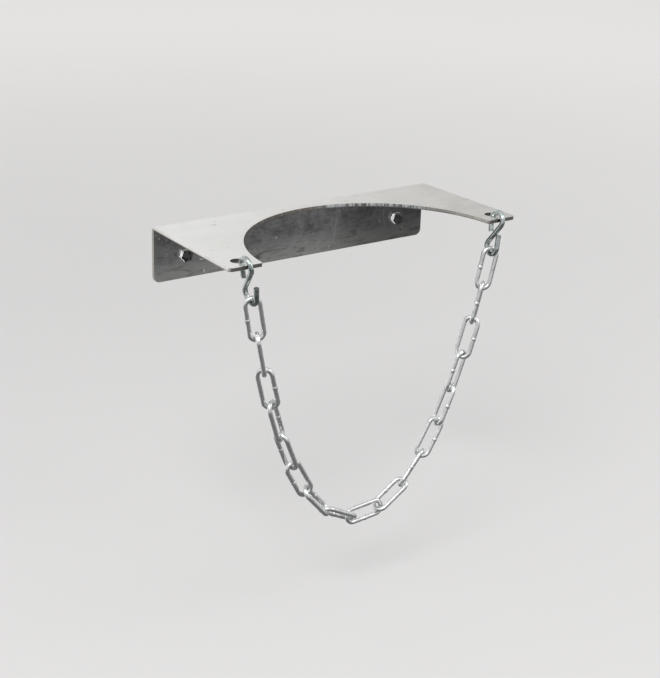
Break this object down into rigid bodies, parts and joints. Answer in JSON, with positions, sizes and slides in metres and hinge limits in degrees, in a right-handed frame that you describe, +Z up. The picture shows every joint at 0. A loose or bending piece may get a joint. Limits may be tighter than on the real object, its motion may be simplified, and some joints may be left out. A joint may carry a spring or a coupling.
{
  "type": "gas cylinder bracket",
  "caption": "Wall bracket for a gas cylinder: a folded sheet shelf with a round cutout, and a chain on two S-hooks that closes its front.",
  "frame": {"origin": "on the wall face of the back plate, midway between its two bolts", "axes": "+Y into the wall, +X along the wall to the right seen from the front, +Z up"},
  "size_m": [0.2898, 0.1836, 0.2626],
  "materials": {
    "galvanised_sheet": "satin zinc coating",
    "bolt_steel": "bright zinc plating",
    "zinc_wire": "bright zinc plating"
  },
  "bodies": {
    "bracket": {"bracket_plate": "galvanised_sheet", "wall_bolt_left": "bolt_steel", "wall_bolt_right": "bolt_steel"},
    "left_hook": {"s_hook_left": "zinc_wire"},
    "right_hook": {"s_hook_right": "zinc_wire"},
    "chain": {"chain_link_01": "zinc_wire", "chain_link_02": "zinc_wire", "chain_link_03": "zinc_wire", "chain_link_04": "zinc_wire", "chain_link_05": "zinc_wire", "chain_link_06": "zinc_wire", "chain_link_07": "zinc_wire", "chain_link_08": "zinc_wire", "chain_link_09": "zinc_wire", "chain_link_10": "zinc_wire", "chain_link_11": "zinc_wire", "chain_link_12": "zinc_wire", "chain_link_13": "zinc_wire", "chain_link_14": "zinc_wire", "chain_link_15": "zinc_wire", "chain_link_16": "zinc_wire", "chain_link_17": "zinc_wire"}
  },
  "joints": [
    {"name": "left_hook_swing", "type": "hinge", "parent": "bracket", "child": "left_hook", "pos_m": [-0.1275, -0.124, 0.0266], "axis": [1, 0, 0], "range_deg": [-60, 15]},
    {"name": "right_hook_swing", "type": "hinge", "parent": "bracket", "child": "right_hook", "pos_m": [0.1275, -0.124, 0.0266], "axis": [1, 0, 0], "range_deg": [-60, 15]},
    {"name": "chain_swing", "type": "hinge", "parent": "left_hook", "child": "chain", "pos_m": [-0.12312, -0.124, 0.00341], "axis": [1, 0, 0.0005], "range_deg": [-30, 10]}
  ],
  "couplings": [
    {"joint": "right_hook_swing", "follows": "left_hook_swing", "ratio": 1}
  ]
}
